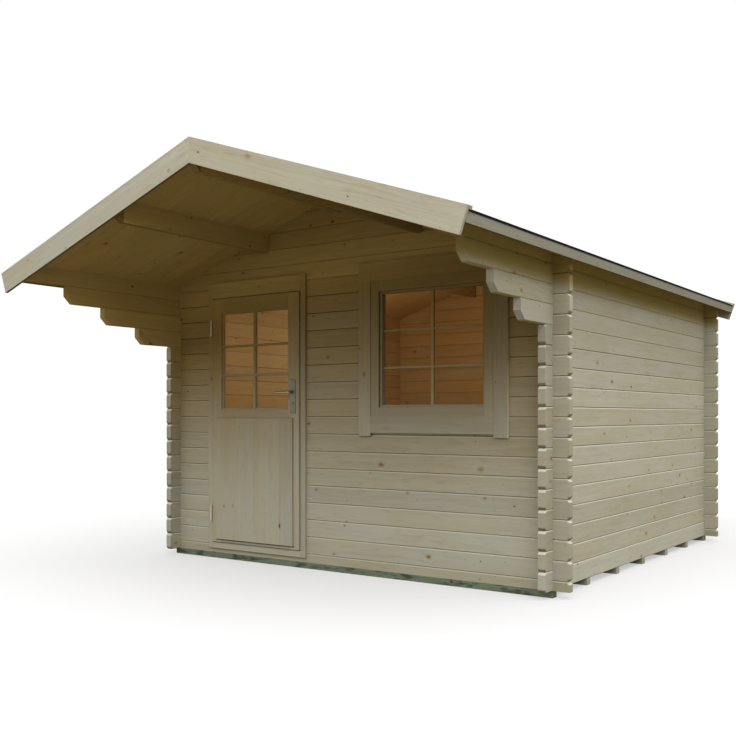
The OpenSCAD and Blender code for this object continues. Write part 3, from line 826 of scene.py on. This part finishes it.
class HOUSE_OT_trim(bpy.types.Operator):
    """Finishes the bargeboards, eave boards, laths, casings and frames"""

    bl_idname = "house.trim"
    bl_label = "Trim"

    def execute(self, context):
        pitch = context.scene.house_sizes.roof_pitch
        number = 200
        for side, sign in (("left", -1), ("right", 1)):
            for end in ("front", "rear"):
                number += 1
                name = f"{end}_{side}_bargeboard"
                low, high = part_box(name)
                drop = high.z - low.z - math.tan(pitch) * (high.x - low.x)
                foot = drop * math.cos(pitch) / 2 - drop / math.cos(pitch) + UNDERSIDE
                # painted shade on the bargeboards' undersides
                paint_board(name, (0, sign * pitch, 0), number, knots=0.36, tint=0.88,
                            shade=None, foot=foot, under=(0.45, 0.36, 0.20))
            name = f"{side}_eave_board"
            low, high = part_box(name)
            # the eave boards are painted about half as bright, as painted shade, with painted shade
            # on their undersides too
            paint_board(name, (0, 0, QUARTER_TURN), number + 7, tint=0.54, shade=None,
                        contrast=0.6, foot=(low.z - high.z) / 2 + UNDERSIDE,
                        under=(0.80, 0.54, 0.20))
        for name in ("front_cover_laths", "rear_cover_laths"):
            number += 11
            paint_board(name, (0, 0, 0), number, tint=0.95, shade=None)
        for name, upright in (("door_frame", 0.014), ("door_casing", 0.041),
                              ("window_frame", 0.045), ("window_casing", 0.092)):
            number += 5
            low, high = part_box(name)
            wide = (high.x - low.x) / 2
            extra = {}
            # the window casing's bluer tint is painted cooler light, and its right side face gets
            # painted light
            if name == "window_casing":
                extra = {"top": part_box("window_sash")[1].z - (low.z + high.z) / 2,
                         "tint": (1.0, 1.03, 1.10), "rim": wide - 0.001}
            paint(joined_finish(f"{name}_pine", (low + high) / 2, wide - upright, number, **extra),
                  name)
        paint_board("inside_casings", (0, QUARTER_TURN, 0), 260)
        return {"FINISHED"}


class HOUSE_OT_roof_boards(bpy.types.Operator):
    """Lays the tongued roof boards, which run down both slopes, with chamfered edges below"""

    bl_idname = "house.roof_boards"
    bl_label = "Roof boards"

    def execute(self, context):
        sizes = context.scene.house_sizes
        for side, sign in (("left", -1), ("right", 1)):
            low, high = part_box(f"{side}_roof_boards")
            reach = high.x - low.x
            thick = high.z - low.z - math.tan(sizes.roof_pitch) * reach
            if thick <= 0:
                raise RuntimeError("the roof pitch doesn't fit the roof boards")
            count = round((high.y - low.y) / sizes.roof_board)
            step = (high.y - low.y) / count
            bm = bmesh.new()
            for k in range(count):
                y = low.y + k * step
                block(bm, (0, y + HALF_JOINT, 0), (reach, y + step - HALF_JOINT, thick),
                      sizes.board_groove, edges_along=0)
            bmesh.ops.transform(bm, verts=bm.verts,
                                matrix=onto_slope(sign, sizes.roof_pitch, high.z - thick))
            material = board_finish(f"{side}_roof_board_pine",
                                    (-QUARTER_TURN, sign * sizes.roof_pitch, 0),
                                    (0, low.y, high.z - thick), 300 + 50 * sign, strip=step,
                                    contrast=0.55, shade="roof")
            set_down(bm, f"{side}_roof_board_run", material, "house",
                     replaces=[f"{side}_roof_boards"])
        return {"FINISHED"}


class HOUSE_OT_floor_boards(bpy.types.Operator):
    """Lays the floor boards across the beams"""

    bl_idname = "house.floor_boards"
    bl_label = "Floor boards"

    def execute(self, context):
        sizes = context.scene.house_sizes
        low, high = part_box("floor")
        count = round((high.x - low.x) / sizes.floor_board)
        step = (high.x - low.x) / count
        bm = bmesh.new()
        for k in range(count):
            x = low.x + k * step
            block(bm, (x + HALF_JOINT, low.y, low.z), (x + step - HALF_JOINT, high.y, high.z),
                  sizes.board_groove, edges_along=1)
        material = board_finish("floor_board_pine", (QUARTER_TURN, 0, QUARTER_TURN),
                                (low.x, 0, 0), 400, strip=step)
        set_down(bm, "floor_board_run", material, "house", replaces=["floor"])
        return {"FINISHED"}


class HOUSE_OT_felt(bpy.types.Operator):
    """Finishes the roofing felt, and adds its overlaps, its ridge strip and its nails"""

    bl_idname = "house.felt"
    bl_label = "Roofing felt"

    def execute(self, context):
        sizes = context.scene.house_sizes
        felt = felt_finish()
        paint(felt, "roof_felt")
        felt_top = 0.0031 / math.cos(sizes.roof_pitch)  # its 3 mm and a hair, on the slope
        y0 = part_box("front_cover_laths")[1].y + 0.001
        y1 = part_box("rear_cover_laths")[0].y - 0.001
        lap_width, ridge_width = 0.09, 0.13
        run = sizes.felt_strip * math.cos(sizes.roof_pitch)
        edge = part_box("roof_felt")[1].x - 0.03
        strip_ends = [edge - run * k for k in range(1, 9) if edge - run * k > 0.15]
        laps = [(x - lap_width, x) for x in strip_ends] + [(HALF_JOINT, ridge_width)]
        nail_height, margin = 0.0016, 0.04
        nailed = y1 - y0 - 2 * margin
        count = round(nailed / sizes.nail_pitch)
        strips, nails = bmesh.new(), bmesh.new()
        for sign in (-1, 1):
            lean = onto_slope(sign, sizes.roof_pitch, RIDGE + felt_top)
            for x0, x1 in laps:
                verts = block(strips, (x0, y0, 0), (x1, y1, sizes.felt_lap))
                bmesh.ops.transform(strips, matrix=lean, verts=verts)
                for k in range(count + 1):
                    head = bmesh.ops.create_cone(nails, cap_ends=True, segments=8,
                                                 radius1=sizes.nail_head,
                                                 radius2=sizes.nail_head * 0.6,
                                                 depth=nail_height)["verts"]
                    bmesh.ops.translate(nails, verts=head,
                                        vec=(x1 - 0.025, y0 + margin + nailed * k / count,
                                             sizes.felt_lap + nail_height / 2 - HAIR))
                    bmesh.ops.transform(nails, matrix=lean, verts=head)
        set_down(strips, "felt_overlaps", felt, "house")
        zinc = steel_finish("galvanised_nails", lift=(1.6, 1.6, 1.6), rough=0.5)
        set_down(nails, "felt_nails", zinc, "house")
        return {"FINISHED"}


class HOUSE_OT_beams(bpy.types.Operator):
    """Finishes the pressure-treated floor beams"""

    bl_idname = "house.beams"
    bl_label = "Floor beams"

    def execute(self, context):
        paint(treated_finish(), "floor_beams")
        return {"FINISHED"}


def glazing(name, opening, widths, y0, y1, chamfer, material, body, crowd, columns=2, rows=3):
    """Glazing bars that divide an opening into columns and rows of panes.

    Crowd draws the cross bars towards the middle, so that the middle row is the lowest. They are
    let into the uprights, and lie a little behind their front.
    """
    low, high = opening
    upright, cross = widths
    reach = upright / 2 - 0.002
    bm = bmesh.new()
    stops = [low.x + (high.x - low.x) * k / columns for k in range(columns + 1)]
    for x in stops[1:-1]:
        block(bm, (x - upright / 2, y0, low.z), (x + upright / 2, y1, high.z), chamfer,
              edges_along=2)
    for k in range(1, rows):
        z = (low.z + high.z) / 2 + (high.z - low.z) * (k / rows - 0.5) * crowd
        for c in range(columns):
            x0 = stops[c] + (reach if c else 0)
            x1 = stops[c + 1] - (reach if c < columns - 1 else 0)
            block(bm, (x0, y0 + 0.0015, z - cross / 2), (x1, y1 - 0.0005, z + cross / 2), chamfer,
                  edges_along=0)
    set_down(bm, name, material, body)


def bars_both_sides(name, outer, inner, widths, front, glass, material, body, crowd=1.0):
    """Glazing bars before a pane, and slimmer ones behind it, each in their own opening"""
    glazing(f"{name}_bars", outer, widths, front, glass[0].y - HAIR, 0.003, material, body, crowd)
    slim = [width * 0.6 for width in widths]
    glazing(f"{name}_inner_bars", inner, slim, glass[1].y + HAIR, glass[1].y + 0.009, 0.002,
            material, body, crowd)


class HOUSE_OT_door(bpy.types.Operator):
    """Finishes the door leaf, its panel and the panes, and adds the glazing bars and the beads"""

    bl_idname = "house.door"
    bl_label = "Door"

    def execute(self, context):
        sizes = context.scene.house_sizes
        low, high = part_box("door_leaf")
        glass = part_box("door_glass")
        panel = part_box("door_panel")
        lip = Vector((0.010, 0, 0.010))
        opening = (glass[0] + lip, glass[1] - lip)
        half = (opening[1].x - opening[0].x) / 2
        # the leaf gets a painted shadow line round its proud panel
        paint(joined_finish("door_leaf_pine", (low + high) / 2, half, 500,
                            tint=(0.94, 0.91, 0.88), panel=panel), "door_leaf")
        paint(board_finish("door_panel_pine", (0, QUARTER_TURN, 0),
                           (panel[0].x, low.y, panel[0].z), 523, strip=sizes.panel_board,
                           knots=0.12, contrast=0.6), "door_panel")
        paint(glass_finish(), "door_glass", "window_glass")
        # the door bars' painted canopy shade starts lower
        bars = joined_finish("door_bar_pine", (opening[0] + opening[1]) / 2, half * 2, 540,
                             rise=0.20)
        widths = (sizes.door_bar_upright, sizes.door_bar_cross)
        bars_both_sides("door", opening, opening, widths, low.y + 0.001, glass, bars, "door", 0.9)
        beads("door_beads", (opening[0].x, glass[0].y - HAIR - 0.01, opening[0].z),
              (opening[1].x, glass[0].y - HAIR, opening[1].z), sizes.bead, bars, "door")
        beads("door_inner_beads", (glass[0].x, glass[1].y + HAIR + 0.01, glass[0].z),
              (glass[1].x, glass[1].y + HAIR, glass[1].z), sizes.bead + lip.x, bars, "door")
        return {"FINISHED"}


class HOUSE_OT_window(bpy.types.Operator):
    """Finishes the window sash, and adds the glazing bars and the inner beads"""

    bl_idname = "house.window"
    bl_label = "Window"

    def execute(self, context):
        sizes = context.scene.house_sizes
        low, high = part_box("window_sash")
        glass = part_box("window_glass")
        lip = Vector((0.016, 0, 0.016))
        opening = (glass[0] + lip, glass[1] - lip)
        half = (glass[1].x - glass[0].x) / 2
        paint(joined_finish("window_sash_pine", (low + high) / 2, half, 600,
                            tint=(0.86, 0.87, 0.88)), "window_sash")
        # painted light on the recessed window bars, whose painted canopy shade starts lower
        bars = joined_finish("window_bar_pine", (low + high) / 2, half * 2, 620,
                             tint=(1.2, 1.17, 1.05), rise=0.20)
        widths = (sizes.bar_upright, sizes.bar_cross)
        bars_both_sides("window", opening, glass, widths, glass[0].y - sizes.bar_depth, glass,
                        bars, "house")
        beads("window_beads", (glass[0].x, glass[1].y + HAIR + 0.009, glass[0].z),
              (glass[1].x, glass[1].y + HAIR, glass[1].z), lip.x, bars, "house")
        return {"FINISHED"}


class HOUSE_OT_ironmongery(bpy.types.Operator):
    """Makes the lever handle, its plates, the lock and the screws, and finishes the hinges"""

    bl_idname = "house.ironmongery"
    bl_label = "Ironmongery"

    def execute(self, context):
        sizes = context.scene.house_sizes
        steel = steel_finish()
        # the hinges are painted brighter low down and darker high up, in the canopy's shade
        zinc = steel_finish("zinc_hinges", lift=(2.74, 2.52, 1.95), rough=0.5, levels=(1.25, 0.70))
        paint(zinc, "frame_hinges", "leaf_hinges")
        low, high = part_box("handle_plates")
        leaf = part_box("door_leaf")
        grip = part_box("door_handle")
        centre = (low + high) / 2
        lever_z = (grip[0].z + grip[1].z) / 2
        lock_z = centre.z - 0.042
        plates, levers, screws, slots = (bmesh.new() for _ in range(4))
        for back, face, tip in ((leaf[0].y, low.y, grip[0].y), (leaf[1].y, high.y, grip[1].y)):
            out = 1 if face > back else -1
            rounded_plate(plates, centre, high - low, back, face)
            root = Vector((centre.x, face, lever_z))
            head_along_y(plates, root, radius=0.0135, height=out * 0.004, segments=24, crown=0.86)
            for z in (low.z + 0.016, high.z - 0.016):
                place = (centre.x, face, z)
                head_along_y(screws, place, radius=sizes.screw_head, height=out * 0.0012,
                             segments=14, crown=0.7)
                block_along_y(slots, place, half_width=0.003, height=out * 0.0014, below=0.0004,
                              above=0.0004)
            lock = (centre.x, face, lock_z)
            head_along_y(screws, lock, radius=0.0078, height=out * 0.0035, segments=24, crown=0.9)
            block_along_y(screws, lock, half_width=0.0042, height=out * 0.0032, below=0.019,
                          above=-0.005, chamfer=0.001)
            block_along_y(slots, lock, half_width=0.0007, height=out * 0.0037, below=0.005,
                          above=0.004)
            lever(levers, root, Vector((grip[0].x, tip, lever_z)), sizes.lever_radius)
        bmesh.ops.holes_fill(levers, edges=levers.edges)
        set_down(plates, "lock_plates", steel, "door", True, ["handle_plates"])
        set_down(screws, "plate_screws", steel, "door", True)
        # the slots and the keyhole are dark blocks of painted shade
        set_down(slots, "plate_slots", slot_shade_finish(), "door")
        bright = steel_finish("bright_steel", lift=(1.62, 1.46, 1.15), rough=0.24)
        set_down(levers, "lever_pair", bright, "handle", True, ["door_handle"])
        return {"FINISHED"}


def background_rays(finish):
    """1 for the rays that see the pale background: the camera's, and those in metal and glass"""
    camera = finish.node("LightPath", out="Is Camera Ray")
    mirrored = camera.maths("MAXIMUM", camera.other("Is Glossy Ray"),
                            camera.other("Is Transmission Ray"))
    return camera.maths("MAXIMUM", camera, mirrored)


class HOUSE_OT_stage(bpy.types.Operator):
    """Sets out the pale floor, the soft lights and the camera"""

    bl_idname = "house.stage"
    bl_label = "Stage"

    def execute(self, context):
        scene = context.scene
        bm = bmesh.new()
        bmesh.ops.create_grid(bm, x_segments=1, y_segments=1, size=FLOOR_REACH)
        mesh = bpy.data.meshes.new("pale_floor")
        bm.to_mesh(mesh)
        bm.free()
        floor = set_out("pale_floor", mesh)
        finish = Finish("pale_floor")
        rays = background_rays(finish)
        x, y = finish.split(finish.position())[:2]
        far = finish.ramp((x * x + y * y) ** 0.5, 3.0, 9.0)
        glow = finish.mix(far, (0.48, 0.48, 0.48), (0.74, 0.74, 0.74))
        ground = finish.mix(rays, (0.18, 0.165, 0.14), (0.37, 0.37, 0.37))
        mesh.materials.append(finish.coat(base_color=ground, roughness=0.9, emission_strength=1.0,
                                          emission_color=finish.mix(rays, (0, 0, 0), glow)))

        sky = Finish("studio", "worlds", "Background")
        scene.world = sky.coat(color=sky.mix(background_rays(sky), (0.96, 0.96, 0.95), (1, 1, 1)))

        for name, kind, place, aim, size, power in LAMPS:
            lamp = bpy.data.lights.new(name, kind)
            setattr(lamp, "size" if kind == "AREA" else "shadow_soft_size", size)
            lamp.energy = power
            light = set_out(name, lamp)
            light.location = place
            light.visible_camera = False
            light.rotation_euler = (Vector(aim) - Vector(place)).to_track_quat("-Z", "Y").to_euler()

        lens = bpy.data.cameras.new("view")
        lens.lens = CAMERA_LENS
        lens.shift_x, lens.shift_y = CAMERA_SHIFT
        camera = set_out("view", lens)
        camera.location = CAMERA_PLACE
        camera.rotation_euler = CAMERA_TURN
        scene.camera = camera
        scene.view_settings.view_transform = "Standard"
        return {"FINISHED"}


class HOUSE_PT_pieces(bpy.types.Panel):
    """Lists the pieces of the garden house and their settings"""

    bl_label = "Garden house"
    bl_idname = "HOUSE_PT_pieces"
    bl_space_type = "VIEW_3D"
    bl_region_type = "UI"
    bl_category = "Garden house"

    def draw(self, context):
        for operator in OPERATORS:
            self.layout.operator(operator.bl_idname)
        for group in (context.scene.house_sizes, context.scene.house_colours):
            box = self.layout.box()
            for name in group.__annotations__:
                box.prop(group, name)


OPERATORS = (HOUSE_OT_logs, HOUSE_OT_trim, HOUSE_OT_roof_boards, HOUSE_OT_floor_boards,
             HOUSE_OT_felt, HOUSE_OT_beams, HOUSE_OT_door, HOUSE_OT_window,
             HOUSE_OT_ironmongery, HOUSE_OT_stage)
CLASSES = (HouseSizes, HouseColours, *OPERATORS, HOUSE_PT_pieces)


def register():
    for cls in CLASSES:
        bpy.utils.register_class(cls)
    bpy.types.Scene.house_sizes = PointerProperty(type=HouseSizes)
    bpy.types.Scene.house_colours = PointerProperty(type=HouseColours)


def unregister():
    del bpy.types.Scene.house_colours
    del bpy.types.Scene.house_sizes
    for cls in reversed(CLASSES):
        bpy.utils.unregister_class(cls)


def main():
    register()
    for operator in OPERATORS:
        group, name = operator.bl_idname.split(".")
        getattr(getattr(bpy.ops, group), name)()


if __name__ == "__main__":
    main()
